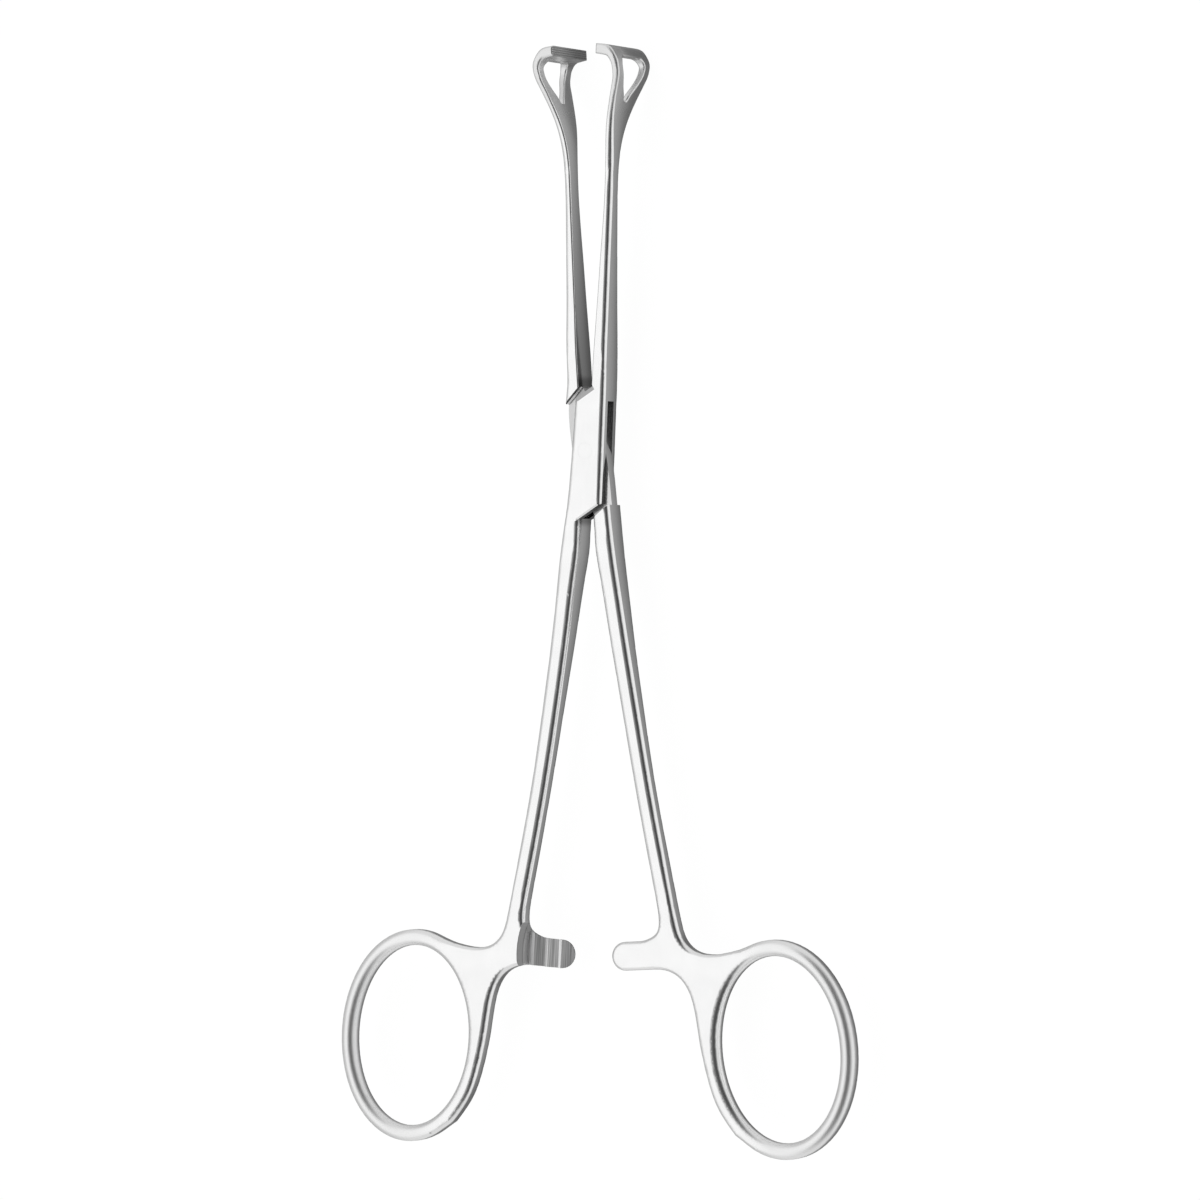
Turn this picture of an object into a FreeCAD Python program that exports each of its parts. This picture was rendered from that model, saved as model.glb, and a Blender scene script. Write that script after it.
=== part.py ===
import FreeCAD, Part
import math
import os

os.makedirs("parts", exist_ok=True)
V = FreeCAD.Vector

# Sizes in millimetres, angles in degrees.
# Each half is drawn with the jaws shut, the handle towards +X and the jaw towards -X,
# about the pivot axis at X = 0, Y = 0. The jaw tips point to +Y and +Z is the front.

# How far the halves stand open at rest
restOpening = 7.0

# Box lock
boxThick = 4.3
slotWidth = 1.7
slotClearance = 0.05
pinRadius = 1.15
pinRunningClearance = 0.03
pinWallClearance = 0.01
boxUpperBevel = (0.65, 0.3)
boxLowerBevel = (0.25, 0.12)
boxUpperCorner = (-0.5, 9.25)
boxLowerCorner = (0.5, -9.75)
boxEndAngle = 34.5
slotEndAngle = 43.0
shoulderUpperAngle = 43.0
shoulderLowerCorner = (0.36, -9.93)
shoulderLowerAngle = 35.0
lockFill = 1.5

# Edge rounding
handleRound = 0.8
holeRound = 1.14
shankRound = 0.65
innerRound = 0.25
jawRound = 0.42
jawRoundStart = 18.0
jawRoundEnd = 6.0

# Finger ring, as an ellipse along the middle of its round bar
ringCentre = (25.2, -86.5)
ringTilt = 2.75
ringAcross = 10.78
ringAlong = 14.36
ringBar = 2.3
ringJoinTop = -12.0
ringJoinInner = 213.0
ringFoot = -104.0

# Jaw, with heights given as drops from the top of the grip
gripTop = 58.1
gripGap = 0.1
gripHeight = 1.45
gripHalfLength = 5.0
grooveDepth = 0.1
grooveWidth = 0.18
grooveCount = 4
groovePitch = 0.31
firstGroove = 0.26

# Ratchet
armMiddleY = -72.5
armHalfHeight = 2.05
armTipX = -0.97
armClearance = 0.08
toothPitch = 2.25
toothHeight = 0.45
toothCrest = 0.4
toothCount = 3
firstCrest = 1.26
recessEnd = 7.7
recessRadius = 12.0

# Half the thickness at each height: the handle up to the box, then the shank, then the jaw
handleProfile = [(-66.0, 1.3), (-56.0, 1.23), (-47.0, 1.24), (-38.0, 1.36), (-30.0, 1.56),
                 (-21.5, 1.86), (-15.0, 2.08), (-10.0, 2.15)]
shankProfile = [(12.0, 2.15), (20.0, 1.86), (28.7, 1.53), (34.5, 1.31), (38.5, 1.25)]
jawProfile = [(15.1, 1.5), (11.6, 2.2), (7.3, 3.4), (4.1, 4.42), (1.7, 5.0)]

# Plan outline of the jaw, as drops from the top of the grip, and of the shank below it
jawArchOuter = [(-1.2, 0.05), (-2.35, 0.45), (-3.35, 1.7), (-3.75, 3.5)]
jawArchInner = [(-1.2, 1.6), (-2.05, 1.95), (-2.55, 2.7), (-2.66, 3.8)]
jawOuter = [(-3.75, 3.5), (-3.4, 5.3), (-2.6, 7.8), (-1.85, 11.1), (-1.55, 16.1)]
jawInner = [(-2.66, 3.8), (-2.3, 5.6), (-1.5, 8.3), (-0.75, 11.5), (-0.44, 15.3)]
shankOuter = [(-1.62, 37.0), (-1.8, 31.5), (-1.98, 26.0), (-2.2, 20.0), (-2.42, 14.3), (-2.6, 9.5)]
shankInner = [(-0.5, 37.0), (-0.5, 28.0), (-0.5, 20.0)]

# Half the jaw window, across the thickness, as drops from the top of the grip
windowSide = [(0.0, 7.9), (0.6, 7.3), (1.4, 6.15), (2.25, 4.85), (2.95, 3.45), (3.12, 2.65),
              (2.8, 2.0), (2.1, 1.75)]

# Plan outline of the handle and the ratchet arm, from the box down
handleOuter = [(3.43, -13.5), (4.1, -21.7), (4.92, -30.4), (5.86, -39.0),
               (6.87, -47.7), (8.13, -56.5), (9.25, -63.8), (9.95, -68.0), (10.8, -70.6),
               (12.3, -72.05), (14.6, -72.72), (17.4, -72.62), (19.7, -72.2)]
handleInner = [(0.5, -13.5), (0.83, -17.4), (1.7, -26.0), (2.66, -34.7), (3.68, -43.4),
               (4.82, -52.1), (6.14, -60.8), (6.8, -65.1)]

# Where the handle runs out into the arm: first as rises above the top of the arm,
# then as drops below its foot, then as an angle and a distance from the bar of the ring
armFlare = [(7.0, 2.85), (6.6, 1.25), (5.2, 0.35), (3.2, 0.0)]
webFlare = [(4.0, 0.0), (7.4, 0.15), (9.6, 1.15)]
webRing = [(299.71, 3.793), (292.49, 2.078), (279.16, 0.873), (264.86, 0.301),
           (250.84, 0.202), (236.68, 0.188), (223.48, 0.216)]

# Plan outline inside the lock, where the box and the tongue differ
boxJawEdge = [(-2.68, 4.0), (-2.76, -1.0), (-2.85, -7.45)]
boxHandleEdge = [(2.25, 7.36), (2.36, 3.5), (2.5, -1.0), (2.88, -8.5)]
tongueJawEdge = [(-2.95, 7.2), (-3.06, 3.4), (-2.85, 0.2), (-2.3, -2.8)]
tongueHandleEdge = [(2.06, 3.4), (2.62, 0.0), (2.95, -3.2), (3.13, -6.5), (3.26, -10.0)]


def curveThrough(points, startDir, endDir):
    curve = Part.BSplineCurve()
    curve.interpolate(Points=points, InitialTangent=startDir / startDir.Length,
                      FinalTangent=endDir / endDir.Length)
    return curve


def spline(points, startDir=None, endDir=None):
    pts = [V(x, y, 0) for x, y in points]
    start = startDir or (pts[1] - pts[0])
    end = endDir or (pts[-1] - pts[-2])
    return curveThrough(pts, start, end).toShape()


def below(points):
    # plan points whose heights are drops from the top of the grip
    return [(x, gripTop - drop) for x, drop in points]


def line(a, b):
    return Part.makeLine(V(a[0], a[1], 0), V(b[0], b[1], 0))


def faceOf(edges):
    return Part.Face(Part.Wire(Part.__sortEdges__(edges)))


def planPrism(edges, low, high):
    face = faceOf(edges)
    face.translate(V(0, 0, low))
    return face.extrude(V(0, 0, high - low))


def polygonPrism(points, low, high):
    corners = [V(x, y, low) for x, y in points]
    face = Part.Face(Part.makePolygon(corners + [corners[0]]))
    return face.extrude(V(0, 0, high - low))


def heightAt(a, b, x):
    # height at x of the straight line through two plan points
    return a[1] + (b[1] - a[1]) * (x - a[0]) / (b[0] - a[0])


def slopePoint(corner, angle, x):
    return (x, corner[1] + (x - corner[0]) * math.tan(math.radians(angle)))


def ringPoint(grow, angle):
    # 0 is the top of the ring, 90 its outer side and 270 its inner side
    a = math.radians(angle)
    t = math.radians(ringTilt)
    along = (ringAlong + grow) * math.cos(a)
    across = (ringAcross + grow) * math.sin(a)
    return (ringCentre[0] + across * math.cos(t) - along * math.sin(t),
            ringCentre[1] + along * math.cos(t) + across * math.sin(t))


def ringDirection(grow, angle):
    before = ringPoint(grow, angle - 0.05)
    after = ringPoint(grow, angle + 0.05)
    return V(after[0] - before[0], after[1] - before[1], 0)


def ringEllipse(grow):
    t = math.radians(ringTilt)
    centre = V(ringCentre[0], ringCentre[1], 0)
    longEnd = centre + V(-math.sin(t), math.cos(t), 0) * (ringAlong + grow)
    wideEnd = centre + V(math.cos(t), math.sin(t), 0) * (ringAcross + grow)
    return Part.Ellipse(longEnd, wideEnd, centre)


def ringArc(grow, startAngle, endAngle):
    # the part of the ellipse that passes the outer side of the ring
    curve = ringEllipse(grow)
    a = curve.parameter(V(*ringPoint(grow, startAngle), 0))
    b = curve.parameter(V(*ringPoint(grow, endAngle), 0))
    low, high = sorted((a, b))
    arc = curve.toShape(low, high)
    rest = curve.toShape(high, low + 2 * math.pi)
    outerSide = Part.Vertex(V(*ringPoint(grow, 90.0), 0))
    return arc if arc.distToShape(outerSide)[0] < 0.01 else rest


def parameterAtHeight(curve, y):
    low = curve.FirstParameter
    high = curve.LastParameter
    for step in range(50):
        middle = (low + high) / 2
        if curve.value(middle).y < y:
            low = middle
        else:
            high = middle
    return low


def thicknessPrism(profile, foot, top, splits=()):
    # the side view of the half, wide enough to hold the whole plan
    edges = []
    for sign in (1, -1):
        points = [V(0, y, sign * z) for y, z in profile]
        curve = curveThrough(points, V(0, 1, 0), V(0, 1, 0))
        knots = [parameterAtHeight(curve, y) for y in splits]
        knots = [curve.FirstParameter] + knots + [curve.LastParameter]
        for start, end in zip(knots[:-1], knots[1:]):
            edges.append(curve.toShape(start, end))
        edges.append(Part.makeLine(V(0, foot, points[0].z), points[0]))
        edges.append(Part.makeLine(points[-1], V(0, top, points[-1].z)))
    for y, z in ((foot, profile[0][1]), (top, profile[-1][1])):
        edges.append(Part.makeLine(V(0, y, z), V(0, y, -z)))
    face = faceOf(edges)
    face.translate(V(-10 * boxThick, 0, 0))
    return face.extrude(V(20 * boxThick, 0, 0))


def wallNormal(solid, edge):
    # outward direction of the upright wall at an edge where it meets a front or back face
    box = edge.BoundBox
    if box.XLength < 0.01 and box.YLength < 0.01:
        return None
    point = edge.valueAt((edge.FirstParameter + edge.LastParameter) / 2)
    normals = []
    for face in solid.ancestorsOfType(edge, Part.Face):
        u, v = face.Surface.parameter(point)
        normals.append(face.normalAt(u, v))
    if len(normals) != 2 or normals[0].getAngle(normals[1]) < 0.5:
        return None
    for wall, across in (normals, normals[::-1]):
        if abs(wall.z) < 0.001 and abs(across.x) < 0.001:
            return wall
    return None


def rounded(solid, radiusOf):
    # radiusOf gives the radius for a point of an edge whose wall faces the given way
    wanted = []
    for number, edge in enumerate(solid.Edges, 1):
        wall = wallNormal(solid, edge)
        if wall is None:
            continue
        radii = [radiusOf(vertex.Point, wall, edge) for vertex in edge.Vertexes]
        if radii[0]:
            wanted.append((number, radii[0], radii[-1]))
    work = FreeCAD.newDocument("rounding")
    sharp = work.addObject("Part::Feature", "Sharp")
    sharp.Shape = solid
    soft = work.addObject("Part::Fillet", "Soft")
    soft.Base = sharp
    soft.Edges = wanted
    work.recompute()
    result = soft.Shape.copy()
    FreeCAD.closeDocument(work.Name)
    return result


def handleBlank(handleEdge, topCorner):
    grow = ringBar / 2
    ringTop = ringPoint(grow, ringJoinTop)
    ringInner = ringPoint(grow, ringJoinInner)
    armEnd = armTipX + armHalfHeight
    armTop = (armEnd, armMiddleY + armHalfHeight)
    armFoot = (armEnd, armMiddleY - armHalfHeight)
    inner = handleInner + [(x, armTop[1] + rise) for x, rise in armFlare]
    web = [(x, armFoot[1] - drop) for x, drop in webFlare]
    web += [ringPoint(grow + gap, angle) for angle, gap in webRing]
    innerX = handleInner[0][0]
    innerTop = (innerX, heightAt(handleEdge[0], topCorner, innerX))
    tip = Part.Arc(V(*armFoot, 0), V(armTipX, armMiddleY, 0), V(*armTop, 0))
    edges = [
        spline(handleEdge + handleOuter + [ringTop], endDir=ringDirection(grow, ringJoinTop)),
        ringArc(grow, ringJoinTop, ringJoinInner),
        spline(web + [ringInner], startDir=V(1, 0, 0), endDir=ringDirection(grow, ringJoinInner) * -1),
        line(web[0], armFoot),
        tip.toShape(),
        line(armTop, inner[-1]),
        spline(inner, startDir=V(0, -1, 0), endDir=V(-1, 0, 0)),
        line(handleInner[0], innerTop),
        line(innerTop, handleEdge[0]),
    ]
    plan = planPrism(edges, -boxThick, boxThick)
    solid = plan.common(thicknessPrism(handleProfile, ringFoot, boxUpperCorner[1] + 3))
    hole = planPrism([ringEllipse(-grow).toShape()], -boxThick, boxThick)
    return solid.cut(hole)


def handlePiece(blank):
    def radiusOf(point, wall, edge):
        if wall.y > 0.5 and edge.BoundBox.YMin > boxLowerCorner[1]:
            return 0
        return holeRound if edge.isClosed() else handleRound

    return rounded(blank, radiusOf)


def windowPrism():
    # the rounded triangle that is cut through each jaw, seen along X
    edges = []
    for sign in (1, -1):
        points = [V(0, gripTop - drop, sign * z) for z, drop in windowSide]
        edges.append(curveThrough(points, V(0, 0, sign), V(0, 0, -sign)).toShape())
    roof = gripTop - windowSide[-1][1]
    edges.append(Part.makeLine(V(0, roof, windowSide[-1][0]), V(0, roof, -windowSide[-1][0])))
    face = faceOf(edges)
    face.translate(V(-2 * gripHalfLength, 0, 0))
    return face.extrude(V(4 * gripHalfLength, 0, 0))


def shankBlank(jawEdge, lowerCorner):
    gripX = -gripGap / 2
    gripFoot = gripTop - gripHeight
    archOuter = below(jawArchOuter)
    archInner = below(jawArchInner)
    innerX = shankInner[-1][0]
    innerFoot = (innerX, heightAt(jawEdge[-1], lowerCorner, innerX))
    edges = [
        spline(archOuter, startDir=V(-1, -0.1, 0), endDir=V(0, -1, 0)),
        spline(below(jawOuter) + shankOuter + jawEdge, startDir=V(0, -1, 0)),
        line(jawEdge[-1], innerFoot),
        line(innerFoot, shankInner[-1]),
        spline(below(jawInner) + shankInner, startDir=V(0, -1, 0), endDir=V(0, -1, 0)),
        spline(archInner, startDir=V(-1, -0.1, 0), endDir=V(0, -1, 0)),
        line(archInner[0], (gripX, gripFoot)),
        line((gripX, gripFoot), (gripX, gripTop)),
        line((gripX, gripTop), archOuter[0]),
    ]
    plan = planPrism(edges, -2 * boxThick, 2 * boxThick)
    profile = shankProfile + [(gripTop - drop, z) for drop, z in jawProfile]
    splits = (gripTop - jawRoundStart, gripTop - jawRoundEnd)
    side = thicknessPrism(profile, boxLowerCorner[1] - boxThick, gripTop + gripHeight, splits)
    return plan.common(side).cut(windowPrism())


def shankPiece(blank, jawEdge):
    windowFoot = gripTop - windowSide[0][1]
    windowReach = max(z for z, drop in windowSide) + 0.1

    def radiusOf(point, wall, edge):
        box = edge.BoundBox
        if box.YMax < jawEdge[-1][1] + 0.1:
            return 0
        inWindow = box.YMin > windowFoot - 0.1 and max(-box.ZMin, box.ZMax) < windowReach
        if inWindow or wall.x > 0.3:
            return innerRound
        share = (gripTop - jawRoundStart - point.y) / (jawRoundEnd - jawRoundStart)
        return shankRound + (jawRound - shankRound) * min(max(share, 0), 1)

    solid = rounded(blank, radiusOf)
    gripX = -gripGap / 2
    for number in range(grooveCount):
        y = gripTop - firstGroove - number * groovePitch
        half = grooveWidth / 2
        mouth = [(gripX + 0.01, y - half), (gripX + 0.01, y + half), (gripX - grooveDepth, y)]
        solid = solid.cut(polygonPrism(mouth, -2 * boxThick, 2 * boxThick))
    return solid


def lockBand(upperCorner, upperAngle, lowerCorner, lowerAngle, low, high):
    # everything between two slanting lines across the lock, over a range of thickness
    reach = 8.0
    points = [slopePoint(upperCorner, upperAngle, -reach), slopePoint(upperCorner, upperAngle, reach),
              slopePoint(lowerCorner, lowerAngle, reach), slopePoint(lowerCorner, lowerAngle, -reach)]
    return polygonPrism(points, low, high)


def fillBetween(upperLine, lowerLine, low, high, reach):
    # joins the shank to the handle inside the lock
    points = [(x, heightAt(*upperLine, x)) for x in (-reach, reach)]
    points += [(x, heightAt(*lowerLine, x)) for x in (reach, -reach)]
    return polygonPrism(points, low, high)


def slab(low, high):
    # all above the pivot, over a range of thickness
    block = Part.makeBox(10 * boxThick, 2 * gripTop, high - low)
    block.translate(V(-5 * boxThick, 0, low))
    return block


def endBevel(corner, inward, size, side, start, end):
    # a wedge along one slanting end of the box, at its front or back edge
    # its size is the width across the end and the depth from the face
    width, depth = size
    a = math.radians(boxEndAngle)
    along = V(math.cos(a), -math.sin(a), 0)
    across = V(math.sin(a), math.cos(a), 0) * inward
    foot = V(*corner, 0) + along * start
    corners = []
    for reach, rise in ((2, 1), (-1, -2), (-1, 1)):
        height = side * (boxThick / 2 + depth * rise)
        corners.append(foot + across * width * reach + V(0, 0, height))
    wedge = Part.Face(Part.makePolygon(corners + [corners[0]]))
    return wedge.extrude(along * (end - start))


def pinBore(radius):
    return Part.makeCylinder(radius, 2 * boxThick, V(0, 0, -boxThick))


def ratchetCut(facing):
    # the recess of the arm with its saw teeth left standing, open towards +Z or -Z
    top = -armClearance
    valley = top - toothHeight
    rise = toothHeight / (toothPitch - toothCrest)
    tipX = armTipX - 1.0
    firstRamp = firstCrest - toothCrest / 2
    points = [(tipX, boxThick), (tipX, top - rise * (firstRamp - tipX))]
    for number in range(toothCount):
        crest = firstCrest + number * toothPitch
        points += [(crest - toothCrest / 2, top), (crest + toothCrest / 2, top), (crest + toothCrest / 2, valley)]
    points += [(recessEnd + 1, valley), (recessEnd + 1, boxThick)]
    reach = 2 * armHalfHeight
    corners = [V(x, armMiddleY - reach, facing * z) for x, z in points]
    ridges = Part.Face(Part.makePolygon(corners + [corners[0]])).extrude(V(0, 2 * reach, 0))
    centre = V(recessEnd - recessRadius, armMiddleY, -boxThick)
    return ridges.common(Part.makeCylinder(recessRadius, 2 * boxThick, centre))


def boxHalf():
    handle = handlePiece(handleBlank(boxHandleEdge, boxUpperCorner))
    shank = shankPiece(shankBlank(boxJawEdge, boxLowerCorner), boxJawEdge)
    upperLine = (boxHandleEdge[0], boxUpperCorner)
    lowerLine = (boxJawEdge[-1], boxLowerCorner)
    fill = fillBetween(upperLine, lowerLine, -boxThick / 2, boxThick / 2, lockFill)
    solid = handle.fuse([shank, fill]).removeSplitter()
    slot = lockBand(boxUpperCorner, slotEndAngle, boxLowerCorner, slotEndAngle, -slotWidth / 2, slotWidth / 2)
    solid = solid.cut(slot)
    for side in (1, -1):
        solid = solid.cut(endBevel(boxUpperCorner, -1, boxUpperBevel, side, -innerRound, 5))
        solid = solid.cut(endBevel(boxLowerCorner, 1, boxLowerBevel, side, -5, handleRound / 2))
    solid = solid.cut(pinBore(pinRadius + pinWallClearance))
    return solid.cut(ratchetCut(1))


def tongueHalf():
    foot = (handleInner[0][0], shoulderLowerCorner[1])
    half = slotWidth / 2 - slotClearance
    handleSharp = handleBlank(tongueHandleEdge, boxUpperCorner)
    shankSharp = shankBlank(tongueJawEdge, foot)
    handle = handlePiece(handleSharp.cut(slab(-boxThick, boxThick)))
    shank = shankPiece(shankSharp, tongueJawEdge)
    upperLine = (tongueHandleEdge[0], boxUpperCorner)
    lowerLine = (tongueJawEdge[-1], foot)
    fill = fillBetween(upperLine, lowerLine, -half, half, handleInner[0][0])
    plate = handleSharp.common(slab(-half, half))
    solid = handle.fuse([shank, plate, fill]).removeSplitter()
    for low, high in ((half, boxThick), (-boxThick, -half)):
        cheek = lockBand(boxUpperCorner, shoulderUpperAngle, shoulderLowerCorner, shoulderLowerAngle, low, high)
        solid = solid.cut(cheek)
    solid = solid.cut(pinBore(pinRadius + pinRunningClearance))
    return solid.cut(ratchetCut(-1))


def placed(solid, turn):
    # turned about the pivot, with the back flat of the box at Z = 0
    part = solid.copy()
    part.rotate(V(0, 0, 0), V(0, 0, 1), turn)
    part.translate(V(0, 0, boxThick / 2))
    return part


box = boxHalf().mirror(V(0, 0, 0), V(1, 0, 0))
tongue = tongueHalf()
pin = Part.makeCylinder(pinRadius, boxThick, V(0, 0, -boxThick / 2))

placed(box, -restOpening / 2).exportStep("parts/box_half.step")
placed(tongue, restOpening / 2).exportStep("parts/tongue_half.step")
placed(pin, 0).exportStep("parts/pivot_pin.step")
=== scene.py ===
import bpy
import math
from mathutils import Matrix, Vector

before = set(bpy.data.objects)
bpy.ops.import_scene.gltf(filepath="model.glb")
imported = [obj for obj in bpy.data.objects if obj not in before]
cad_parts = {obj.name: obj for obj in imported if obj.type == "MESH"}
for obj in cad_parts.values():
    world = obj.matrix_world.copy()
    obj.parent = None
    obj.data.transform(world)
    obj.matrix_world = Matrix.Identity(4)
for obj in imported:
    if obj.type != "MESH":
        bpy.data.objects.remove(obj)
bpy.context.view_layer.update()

from types import SimpleNamespace

print("frame loaded")

# camera, as fitted to the photograph: turned about the length of the instrument and nearly square to it;
# angles in degrees, lens and sensor in millimetres, the rest in metres
cameraValues = {
    "turn": 30.0,
    "lift": 0.0,
    "roll": -0.166,
    "distance": 0.8567,
    "lens": 179.14,
    "sensor": 36.0,
    "nearest": 0.05,
    "farthest": 20.0,
    "pivotHeight": 0.00215,
    "sideways": 0.0011,
    "lengthways": -0.02136,
}


def placeCamera(v):
    turn = math.radians(v["turn"])
    lift = math.radians(v["lift"])
    roll = math.radians(v["roll"])
    back = Vector((math.sin(turn) * math.cos(lift), math.sin(lift), math.cos(turn) * math.cos(lift)))
    level = Vector((0, 1, 0)).cross(back).normalized()
    upright = back.cross(level)
    right = level * math.cos(roll) + upright * math.sin(roll)
    up = upright * math.cos(roll) - level * math.sin(roll)
    pivot = Vector((0, 0, v["pivotHeight"]))
    place = pivot + right * v["sideways"] + up * v["lengthways"] + back * v["distance"]
    data = bpy.data.cameras.new("photoCamera")
    data.lens = v["lens"]
    data.sensor_width = v["sensor"]
    data.clip_start = v["nearest"]
    data.clip_end = v["farthest"]
    obj = bpy.data.objects.new("photoCamera", data)
    bpy.context.scene.collection.objects.link(obj)
    turned = Matrix((right, up, back)).transposed().to_4x4()
    obj.matrix_world = Matrix.Translation(place) @ turned
    bpy.context.scene.camera = obj


placeCamera(cameraValues)
print("camera placed")


# small helpers for node trees
def addNode(tree, kind, **settings):
    node = tree.nodes.new(kind)
    for name, value in settings.items():
        setattr(node, name, value)
    return node


def feed(tree, socket, value):
    # value is the output of another node, or a plain number or vector
    if hasattr(value, "links"):
        tree.links.new(value, socket)
    else:
        socket.default_value = value


def mathNode(tree, operation, *values):
    node = addNode(tree, "ShaderNodeMath", operation=operation)
    for number, value in enumerate(values):
        feed(tree, node.inputs[number], value)
    return node.outputs[0]


def vectorNode(tree, operation, *values):
    node = addNode(tree, "ShaderNodeVectorMath", operation=operation)
    for number, value in enumerate(values):
        feed(tree, node.inputs[number], value)
    return node.outputs["Value"] if operation == "LENGTH" else node.outputs[0]


def stepUp(tree, value, start, end):
    # 0 below start, 1 above end, smooth between; end may lie below start
    node = addNode(tree, "ShaderNodeMapRange", interpolation_type="SMOOTHSTEP")
    feed(tree, node.inputs["Value"], value)
    node.inputs["From Min"].default_value = start
    node.inputs["From Max"].default_value = end
    return node.outputs[0]


def both(tree, *masks):
    # 1 only where every mask is 1
    product = masks[0]
    for mask in masks[1:]:
        product = mathNode(tree, "MULTIPLY", product, mask)
    return product


def rangeOf(tree, value, low, high):
    # low where value is 0, high where it is 1
    node = addNode(tree, "ShaderNodeMapRange")
    feed(tree, node.inputs["Value"], value)
    feed(tree, node.inputs["To Min"], low)
    feed(tree, node.inputs["To Max"], high)
    return node.outputs[0]


def around(tree, noise, middle, spread):
    # a noise from 0 to 1 becomes middle, give or take spread
    return rangeOf(tree, noise, middle - spread, middle + spread)


def scaled(tree, value, mask, share):
    # value times share inside the mask
    return mathNode(tree, "MULTIPLY", value, rangeOf(tree, mask, 1.0, share))


def raisedBy(tree, value, mask, amount):
    # value plus amount inside the mask
    return mathNode(tree, "MULTIPLY_ADD", mask, amount, value)


def partsOf(tree, source):
    node = addNode(tree, "ShaderNodeSeparateXYZ")
    feed(tree, node.inputs[0], source)
    return node.outputs["X"], node.outputs["Y"], node.outputs["Z"]


def mappingNode(tree, source, **settings):
    node = addNode(tree, "ShaderNodeMapping", vector_type=settings.pop("kind", "POINT"))
    for name, value in settings.items():
        node.inputs[name.capitalize()].default_value = value
    feed(tree, node.inputs[0], source)
    return node.outputs[0]


def noiseNode(tree, source, scale, detail):
    node = addNode(tree, "ShaderNodeTexNoise")
    node.inputs["Scale"].default_value = 1.0
    node.inputs["Detail"].default_value = detail
    feed(tree, node.inputs["Vector"], mappingNode(tree, source, scale=scale))
    return node.outputs[0]


def toWorldNode(tree, source, kind):
    node = addNode(tree, "ShaderNodeVectorTransform", vector_type=kind,
                   convert_from="OBJECT", convert_to="WORLD")
    feed(tree, node.inputs[0], source)
    return node.outputs[0]


# brightness of the studio seen from the object, by the angle from straight above
# towards the right, in degrees, read round the length of the instrument;
# beyond endStart along that length it turns into the even brightness of the ends
studioValues = {
    "bands": [(-180, 0.2), (-150, 0.3), (-138, 0.7), (-70, 0.8), (-52, 1.4), (-14, 1.5),
              (-3, 0.4), (10, 0.2), (24, 0.09), (48, 0.09), (66, 0.9), (80, 1.3),
              (116, 1.3), (128, 0.6), (152, 0.38), (162, 0.2), (180, 0.2)],
    "endBright": 1.1, "endStart": 0.6, "endFull": 0.9,
}


def buildWorld(v):
    world = bpy.data.worlds.new("studio")
    bpy.context.scene.world = world
    world.use_nodes = True
    tree = world.node_tree
    tree.nodes.clear()
    coords = addNode(tree, "ShaderNodeTexCoord")
    x, y, z = partsOf(tree, coords.outputs["Generated"])
    angle = mathNode(tree, "ARCTAN2", x, z)
    ramp = addNode(tree, "ShaderNodeValToRGB")
    feed(tree, ramp.inputs[0], mathNode(tree, "MULTIPLY_ADD", angle, 0.5 / math.pi, 0.5))
    # the ramp runs from 0 at -180 degrees to 1 at 180
    stops = ramp.color_ramp.elements
    top = max(bright for degrees, bright in v["bands"])
    while len(stops) < len(v["bands"]):
        stops.new(0.5)
    for stop, (degrees, bright) in zip(stops, v["bands"]):
        stop.position = degrees / 360 + 0.5
        stop.color = (bright / top, bright / top, bright / top, 1)
    strength = mathNode(tree, "MULTIPLY", ramp.outputs[0], top)
    atEnd = stepUp(tree, mathNode(tree, "ABSOLUTE", y), v["endStart"], v["endFull"])
    strength = rangeOf(tree, atEnd, strength, v["endBright"])
    # the camera sees plain white, everything else sees the studio
    rays = addNode(tree, "ShaderNodeLightPath")
    seen = addNode(tree, "ShaderNodeBackground")
    seen.inputs["Color"].default_value = (1, 1, 1, 1)
    lit = addNode(tree, "ShaderNodeBackground")
    feed(tree, lit.inputs["Strength"], strength)
    mix = addNode(tree, "ShaderNodeMixShader")
    feed(tree, mix.inputs[0], rays.outputs["Is Camera Ray"])
    feed(tree, mix.inputs[1], lit.outputs[0])
    feed(tree, mix.inputs[2], seen.outputs[0])
    out = addNode(tree, "ShaderNodeOutputWorld")
    feed(tree, out.inputs[0], mix.outputs[0])


buildWorld(studioValues)

# in metres; shadowShare is how much of the floor's own shading the camera sees
floorValues = {"height": -0.00287, "size": 6.0, "shadowShare": 0.1, "colour": 0.93, "glow": 1.06}


def buildFloor(v):
    half = v["size"] / 2
    mesh = bpy.data.meshes.new("floor")
    corners = [(x * half, y * half, v["height"]) for x, y in ((-1, -1), (1, -1), (1, 1), (-1, 1))]
    mesh.from_pydata(corners, [], [(0, 1, 2, 3)])
    obj = bpy.data.objects.new("floor", mesh)
    bpy.context.scene.collection.objects.link(obj)
    mat = bpy.data.materials.new("paleFloor")
    mat.use_nodes = True
    tree = mat.node_tree
    tree.nodes.clear()
    plain = addNode(tree, "ShaderNodeBsdfDiffuse")
    plain.inputs["Color"].default_value = (v["colour"], v["colour"], v["colour"], 1)
    glow = addNode(tree, "ShaderNodeEmission")
    glow.inputs["Strength"].default_value = v["glow"]
    rays = addNode(tree, "ShaderNodeLightPath")
    share = mathNode(tree, "MULTIPLY", rays.outputs["Is Camera Ray"], 1 - v["shadowShare"])
    mix = addNode(tree, "ShaderNodeMixShader")
    feed(tree, mix.inputs[0], share)
    feed(tree, mix.inputs[1], plain.outputs[0])
    feed(tree, mix.inputs[2], glow.outputs[0])
    out = addNode(tree, "ShaderNodeOutputMaterial")
    feed(tree, out.inputs[0], mix.outputs[0])
    mesh.materials.append(mat)
    obj.visible_glossy = False


buildFloor(floorValues)
print("floor and light built")

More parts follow.
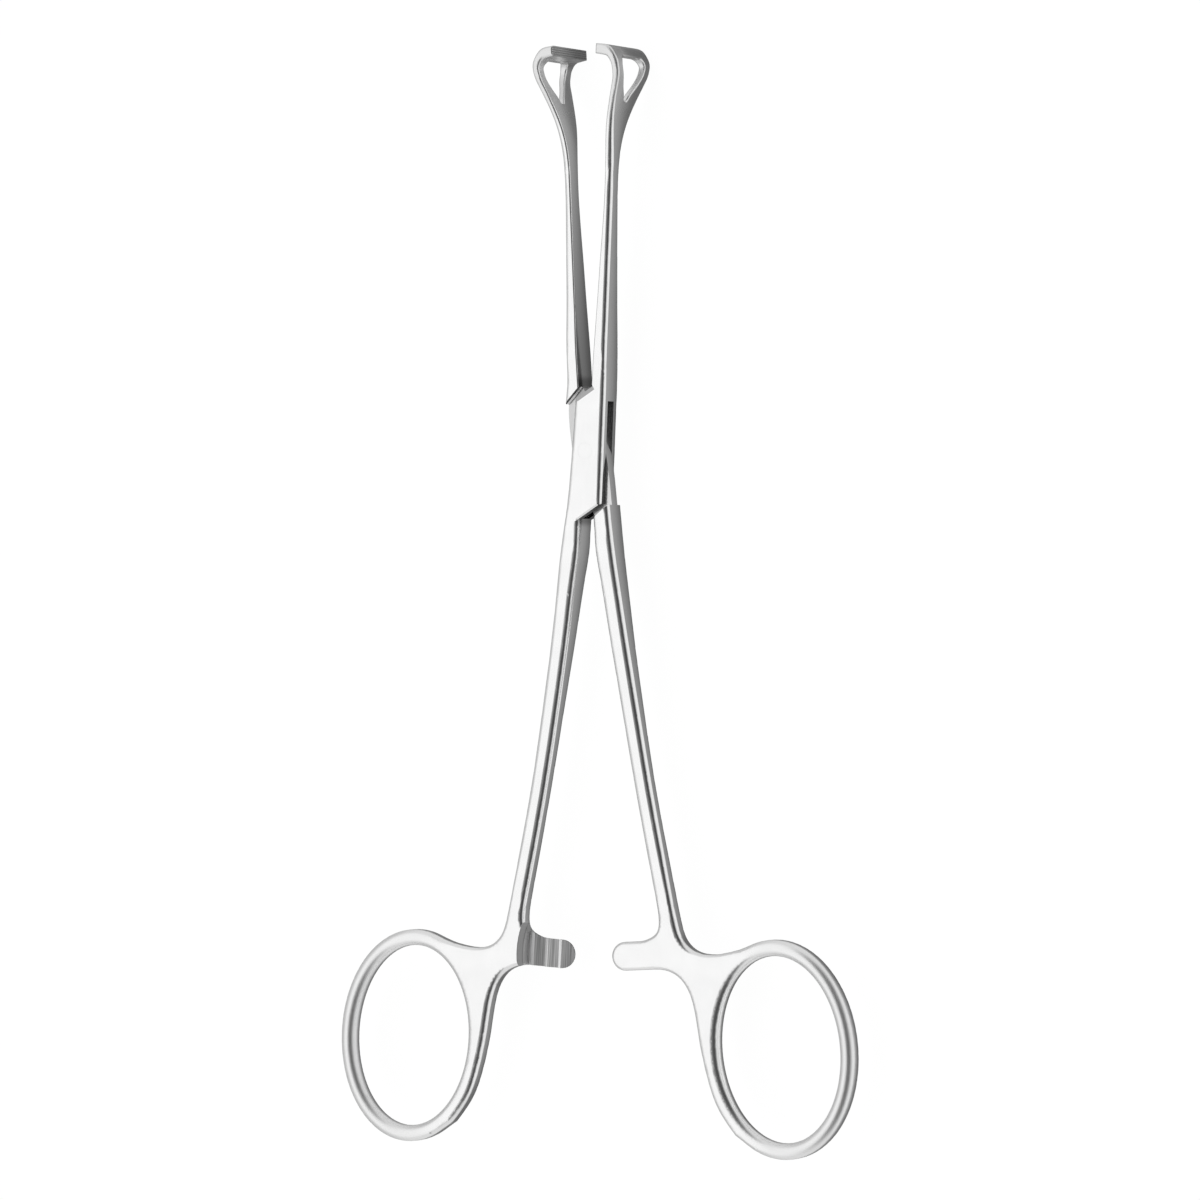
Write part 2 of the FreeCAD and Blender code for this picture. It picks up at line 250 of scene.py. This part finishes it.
# From here on lengths are in millimetres, counted in a half as it is made: closed, the handle
# to the right and the jaw to the left. A pair is where a mask starts and where it is full,
# along a coordinate or, where the name ends in Facing, along a part of the face's direction.
# Three numbers are how fine a noise is along x, y and z. Tones go by place as well as by finish,
# to give small faces the shade that they have in the photograph.
millimetres = 1000  # in a metre
middleHeight = 2.15  # half the thickness of the lock


def placeOf(tree, side, turn):
    # where a point lies and which way its face looks: side -1 mirrors the half, turn closes it
    coords = addNode(tree, "ShaderNodeTexCoord")
    straight = mappingNode(tree, coords.outputs["Object"], rotation=(0, 0, turn),
                           scale=(millimetres * side, millimetres, millimetres))
    facing = mappingNode(tree, coords.outputs["Normal"], kind="VECTOR", rotation=(0, 0, turn),
                         scale=(side, 1, 1))
    x, y, z = partsOf(tree, straight)
    faceX, faceY, faceZ = partsOf(tree, facing)
    lifted = mathNode(tree, "SUBTRACT", z, middleHeight)
    return SimpleNamespace(side=side, turn=turn, straight=straight, x=x, y=y, z=z,
                           faceX=faceX, faceY=faceY, faceZ=faceZ, lifted=lifted,
                           fromMiddle=mathNode(tree, "ABSOLUTE", lifted),
                           height=mathNode(tree, "ABSOLUTE", y))


# ratchet recess: milled floor and teeth, with a curved end wall; the end wall gets painted shade, and a
# strip along its foot painted light
recessValues = {
    "armY": -72.5, "reach": 4.15, "reachFade": 0.1,
    "top": 3.3, "topFade": 0.05, "insideFacing": (-0.3, 0.0),
    "roundX": -4.3, "roundRadius": 12.0, "roundFade": (0.08, 0.04),
    "milledLines": (7.0, 0.12, 0.12), "lineDetail": 2,
    "milledTone": 0.6, "milledSpread": 0.55, "milledRough": 0.36,
    "lastCrestX": (2.2, 5.0), "lastCrestShadeTone": 0.62, "tipX": (1.0, 0.9), "tipShadeTone": 0.72,
    "wallX": (5.5, 6.0), "wallFacing": (0.5, 0.2), "wallShadeTone": 0.34, "wallLean": 0.75,
    "footReach": 0.75, "footFade": 0.1, "footFacing": (0.5, 0.8), "footLightTone": 0.75,
    "footLean": 1.3, "footEndY": (-70.2, -69.5),
}


def recessLooks(tree, at, v):
    depth = at.z if at.side < 0 else mathNode(tree, "SUBTRACT", 2 * middleHeight, at.z)
    toothed = mathNode(tree, "MULTIPLY", at.faceZ, -at.side)
    centre = (-v["roundX"], -v["armY"], 0)
    flat = vectorNode(tree, "MULTIPLY", mappingNode(tree, at.straight, location=centre), (1, 1, 0))
    fromCentre = vectorNode(tree, "LENGTH", flat)
    low, high = v["armY"] - v["reach"], v["armY"] + v["reach"]
    roundStart, roundFull = (v["roundRadius"] + fade for fade in v["roundFade"])
    inside = both(tree, stepUp(tree, at.y, low, low + v["reachFade"]),
                  stepUp(tree, at.y, high, high - v["reachFade"]),
                  stepUp(tree, fromCentre, roundStart, roundFull),
                  stepUp(tree, depth, v["top"] + v["topFade"], v["top"]),
                  stepUp(tree, toothed, *v["insideFacing"]))
    wall = both(tree, inside, stepUp(tree, toothed, *v["wallFacing"]), stepUp(tree, at.x, *v["wallX"]))
    footStart = v["roundRadius"] - v["footReach"]
    foot = both(tree, inside, stepUp(tree, toothed, *v["footFacing"]),
                stepUp(tree, fromCentre, footStart, footStart + v["footFade"]))
    # painted light along the foot of the end wall, fading into the wall's painted shade towards its end
    footLightTone = rangeOf(tree, stepUp(tree, at.y, *v["footEndY"]), v["footLightTone"], v["wallShadeTone"])
    # lines left by the cutter across the arm, and painted shade on the last crest and at the tip
    lines = noiseNode(tree, at.straight, v["milledLines"], v["lineDetail"])
    cut = around(tree, lines, v["milledTone"], v["milledSpread"])
    cut = scaled(tree, cut, stepUp(tree, at.x, *v["lastCrestX"]), v["lastCrestShadeTone"])
    cut = scaled(tree, cut, stepUp(tree, at.x, *v["tipX"]), v["tipShadeTone"])
    return SimpleNamespace(inside=inside, cut=cut, wall=wall, foot=foot, footLightTone=footLightTone)


# lock: slanting ends with their bevel, and the tongue in its slot; the ends, the bevel and the tongue and
# slot seen through the gap get painted shade, and the foot of the upper ends painted light
lockValues = {
    "boxSlant": 34.5, "tongueSlant": -39, "reach": (12.0, 11.8), "upperY": (0, 1),
    "endFacing": (0.95, 0.98), "endShadeTone": 0.2, "endRough": 0.4,
    "endFootFromMiddle": (1.5, 1.45), "endFootLightTone": 0.95, "endFootLean": 0.9,
    "bevelStartFacing": (0.3, 0.4), "bevelEndFacing": (0.6, 0.5), "bevelShadeTone": 0.56,
    "plateFromMiddle": (1.05, 1.0), "plateFacing": (0.5, 0.8), "plateY": (-1, 1), "plateLean": 0.2,
    "plateShadeTone": 0.82, "plateLowShadeTone": 0.35, "plateSideX": (1.8, 1.9), "plateSideShadeTone": 0.62,
    "plateEndX": (-2.2, -1.4), "plateEndY": (7.0, 7.4), "plateEndShadeTone": 0.5, "slotShadeTone": 0.5,
}


def lockLooks(tree, at, v):
    slant = math.radians(v["boxSlant"] if at.side < 0 else v["tongueSlant"])
    across = mathNode(tree, "MULTIPLY", at.faceY, math.cos(slant))
    along = mathNode(tree, "MULTIPLY_ADD", at.faceX, math.sin(slant), across)
    near = stepUp(tree, at.height, *v["reach"])
    upper = stepUp(tree, at.y, *v["upperY"])
    # the ends get painted shade, and their foot on the upper end painted light; the bevel gets painted
    # shade
    end = both(tree, stepUp(tree, mathNode(tree, "ABSOLUTE", along), *v["endFacing"]), near)
    endFoot = both(tree, end, stepUp(tree, at.fromMiddle, *v["endFootFromMiddle"]), upper)
    bevel = both(tree, stepUp(tree, along, *v["bevelStartFacing"]),
                 stepUp(tree, along, *v["bevelEndFacing"]), near, upper)
    plate = both(tree, stepUp(tree, at.fromMiddle, *v["plateFromMiddle"]), near,
                 stepUp(tree, at.faceZ, *v["plateFacing"]))
    # the plate tones are painted shade on the tongue and in the slot, darkest below the middle
    if at.side < 0:
        upperShadeTone = v["slotShadeTone"]
    else:
        plateEnd = both(tree, stepUp(tree, at.x, *v["plateEndX"]), stepUp(tree, at.y, *v["plateEndY"]))
        upperShadeTone = rangeOf(tree, plateEnd, v["plateShadeTone"], v["plateEndShadeTone"])
    atSide = stepUp(tree, at.x, *v["plateSideX"])
    lowerShadeTone = rangeOf(tree, atSide, v["plateLowShadeTone"], v["plateSideShadeTone"])
    plateShadeTone = rangeOf(tree, stepUp(tree, at.y, *v["plateY"]), lowerShadeTone, upperShadeTone)
    return SimpleNamespace(end=end, endFoot=endFoot, bevel=bevel, plate=plate,
                           plateShadeTone=plateShadeTone, upperPlate=both(tree, plate, upper))


# shanks: the inner walls lighten towards the jaw, with painted light, and are darker where they run into
# the box, with painted shade; the corners there get painted shade too
shankValues = {
    "innerFacing": (0.7, 0.95), "innerFootY": (9.0, 9.5), "innerY": (9.0, 52.0),
    "innerFootShadeTone": 0.42, "innerShadingTone": 0.9,
    "cornerStart": (9.1, 9.2), "cornerEnd": (11.2, 10.0), "cornerShadeTone": 0.5,
    "cornerLooksIn": (6, 8), "cornerInside": (1, 0),  # of a face's direction and of x, each times y
}


def shankLooks(tree, at, v):
    inner = both(tree, stepUp(tree, at.faceX, *v["innerFacing"]), stepUp(tree, at.y, *v["innerFootY"]))
    innerShadingTone = rangeOf(tree, stepUp(tree, at.y, *v["innerY"]), v["innerFootShadeTone"], v["innerShadingTone"])
    # painted shade in the corners where the shanks run into the box
    corner = both(tree, stepUp(tree, at.height, *v["cornerEnd"]),
                  stepUp(tree, at.height, *v["cornerStart"]),
                  stepUp(tree, mathNode(tree, "MULTIPLY", at.faceX, at.y), *v["cornerLooksIn"]),
                  stepUp(tree, mathNode(tree, "MULTIPLY", at.x, at.y), *v["cornerInside"]))
    return SimpleNamespace(inner=inner, innerShadingTone=innerShadingTone, corner=corner)


# jaws: duller than the rest, and dullest on the gripping bars
jawValues = {
    "footY": (44.0, 52.0), "tone": 0.88, "rough": 0.16,
    "gripX": (-0.3, -0.2), "gripY": (56.5, 56.6), "gripTone": 0.5, "gripRough": 0.4,
}

# finger rings: an oval, turned a little, shaded as a round bar
ringValues = {
    "x": 25.2, "y": -86.5, "tilt": 2.75, "halfAcross": 10.78, "halfAlong": 14.36,
    "barHalfWidth": 1.15, "barHalfThick": 1.3, "barFade": (0.2, 0.05), "webX": (18, 25),
    "roundness": 0.75, "rough": 0.22, "webY": (-72.5, -80.5), "webRough": 0.05,
}


def ringLooks(tree, at, v):
    # away is how far a point lies from the middle of the bar, tube the normal of a round bar there
    tilt = math.radians(v["tilt"])
    across = -v["x"] * math.cos(tilt) - v["y"] * math.sin(tilt)
    along = v["x"] * math.sin(tilt) - v["y"] * math.cos(tilt)
    inRing = mappingNode(tree, at.straight, location=(across, along, 0), rotation=(0, 0, -tilt))
    a, b = v["halfAcross"], v["halfAlong"]
    level = vectorNode(tree, "LENGTH", vectorNode(tree, "MULTIPLY", inRing, (1 / a, 1 / b, 0)))
    slope = vectorNode(tree, "MULTIPLY", inRing, (1 / a ** 2, 1 / b ** 2, 0))
    excess = mathNode(tree, "MULTIPLY", mathNode(tree, "SUBTRACT", level, 1.0), level)
    away = mathNode(tree, "DIVIDE", excess, vectorNode(tree, "LENGTH", slope))
    outwards = addNode(tree, "ShaderNodeVectorMath", operation="SCALE")
    feed(tree, outwards.inputs[0], vectorNode(tree, "NORMALIZE", slope))
    feed(tree, outwards.inputs["Scale"], mathNode(tree, "DIVIDE", away, v["barHalfWidth"] ** 2))
    rise = addNode(tree, "ShaderNodeCombineXYZ")
    feed(tree, rise.inputs["Z"], mathNode(tree, "DIVIDE", at.lifted, v["barHalfThick"] ** 2))
    tube = vectorNode(tree, "NORMALIZE", vectorNode(tree, "ADD", outwards.outputs[0], rise.outputs[0]))
    back = mappingNode(tree, tube, kind="VECTOR", scale=(at.side, 1, 1),
                       rotation=(0, 0, at.side * (tilt - at.turn)))
    offBar = mathNode(tree, "SUBTRACT", mathNode(tree, "ABSOLUTE", away), v["barHalfWidth"])
    bar = both(tree, stepUp(tree, offBar, *v["barFade"]), stepUp(tree, at.x, *v["webX"]), v["roundness"])
    return SimpleNamespace(bar=bar, tube=toWorldNode(tree, back, "NORMAL"))


# the polish all over: long grain, soft clouds, and side walls that are slightly full
polishValues = {
    "tone": 0.80, "toneSpread": 0.03, "rough": 0.17, "roughSpread": 0.05,
    "grain": (9.0, 0.35, 9.0), "grainDetail": 3, "grainHeight": 0.0015, "grainStrength": 0.25,
    "cloud": (0.25, 0.25, 0.25), "cloudDetail": 4, "cloudSpread": 0.05,
    "wallCurve": 0.15,
}


def steelFor(name, side, turn):
    mat = bpy.data.materials.new(name)
    mat.use_nodes = True
    tree = mat.node_tree
    shader = tree.nodes["Principled BSDF"]
    shader.inputs["Metallic"].default_value = 1.0
    at = placeOf(tree, side, math.radians(turn))
    recess = recessLooks(tree, at, recessValues)
    lock = lockLooks(tree, at, lockValues)
    shank = shankLooks(tree, at, shankValues)
    ring = ringLooks(tree, at, ringValues)
    onWeb = stepUp(tree, at.y, *ringValues["webY"])
    onJaw = stepUp(tree, at.y, *jawValues["footY"])
    gripping = both(tree, stepUp(tree, at.y, *jawValues["gripY"]), stepUp(tree, at.x, *jawValues["gripX"]))
    v = polishValues
    grain = noiseNode(tree, at.straight, v["grain"], v["grainDetail"])
    cloud = noiseNode(tree, at.straight, v["cloud"], v["cloudDetail"])

    # each mask lies over the ones before it; of these, the recess end wall, the inner walls of the shanks
    # and the lock's plate and ends carry painted shade, and the foot of the recess wall, the foot of the
    # lock's upper ends and the inner walls near the jaw carry painted light
    tone = around(tree, grain, v["tone"], v["toneSpread"])
    tone = mathNode(tree, "MULTIPLY", tone, around(tree, cloud, 1, v["cloudSpread"]))
    tone = scaled(tree, tone, onJaw, jawValues["tone"])
    for mask, other in ((recess.inside, recess.cut), (recess.wall, recessValues["wallShadeTone"]),
                        (recess.foot, recess.footLightTone), (shank.inner, shank.innerShadingTone),
                        (lock.plate, lock.plateShadeTone), (lock.end, lockValues["endShadeTone"]),
                        (lock.endFoot, lockValues["endFootLightTone"]), (gripping, jawValues["gripTone"])):
        tone = rangeOf(tree, mask, tone, other)
    # painted shade in the corners where the shanks run into the box
    tone = scaled(tree, tone, shank.corner, shankValues["cornerShadeTone"])
    # painted shade on the bevel of the box
    if side < 0:
        tone = scaled(tree, tone, lock.bevel, lockValues["bevelShadeTone"])
    feed(tree, shader.inputs["Base Color"], tone)

    rough = around(tree, grain, v["rough"], v["roughSpread"])
    rough = raisedBy(tree, rough, onWeb, ringValues["webRough"])
    rough = raisedBy(tree, rough, ring.bar, ringValues["rough"])
    rough = raisedBy(tree, rough, onJaw, jawValues["rough"])
    for mask, other in ((recess.inside, recessValues["milledRough"]), (lock.end, lockValues["endRough"]),
                        (gripping, jawValues["gripRough"])):
        rough = rangeOf(tree, mask, rough, other)
    feed(tree, shader.inputs["Roughness"], rough)

    # the normal leans: side walls out from the mid plane, and some small faces of recess and lock
    crown = mathNode(tree, "DIVIDE", at.lifted, middleHeight)
    crown = mathNode(tree, "MAXIMUM", mathNode(tree, "MINIMUM", crown, 1.0), -1.0)
    upwards = mathNode(tree, "MULTIPLY", crown, v["wallCurve"])
    upwards = raisedBy(tree, upwards, recess.wall, -side * recessValues["wallLean"])
    upwards = raisedBy(tree, upwards, lock.endFoot, lockValues["endFootLean"])
    sideways = mathNode(tree, "MULTIPLY", recess.foot, -side * recessValues["footLean"])
    sideways = raisedBy(tree, sideways, lock.upperPlate, lockValues["plateLean"])
    leaning = addNode(tree, "ShaderNodeCombineXYZ")
    feed(tree, leaning.inputs["X"], sideways)
    feed(tree, leaning.inputs["Z"], upwards)
    turned = toWorldNode(tree, leaning.outputs[0], "VECTOR")
    surface = addNode(tree, "ShaderNodeNewGeometry")
    wall = vectorNode(tree, "NORMALIZE", vectorNode(tree, "ADD", surface.outputs["Normal"], turned))

    # on the rings it is that of a round bar, and the grain stands up a little everywhere
    blend = addNode(tree, "ShaderNodeMix", data_type="VECTOR")  # 4 and 5 are its vector sockets
    feed(tree, blend.inputs[0], ring.bar)
    feed(tree, blend.inputs[4], wall)
    feed(tree, blend.inputs[5], ring.tube)
    grained = addNode(tree, "ShaderNodeBump")
    grained.inputs["Strength"].default_value = v["grainStrength"]
    grained.inputs["Distance"].default_value = v["grainHeight"] / millimetres
    feed(tree, grained.inputs["Height"], grain)
    feed(tree, grained.inputs["Normal"], vectorNode(tree, "NORMALIZE", blend.outputs[1]))
    feed(tree, shader.inputs["Normal"], grained.outputs[0])
    return mat


halfTurn = -3.5  # degrees that close each half: half the opening of the rest pose
steels = {
    "box_half": steelFor("boxSteel", -1, halfTurn),
    "tongue_half": steelFor("tongueSteel", 1, halfTurn),
    "pivot_pin": steelFor("pinSteel", 1, 0),
}
for name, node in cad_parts.items():
    for number in range(len(node.material_slots)):
        node.material_slots[number].link = "OBJECT"
        node.material_slots[number].material = steels[name]
print("materials assigned")

bpy.context.scene.view_settings.view_transform = "Standard"
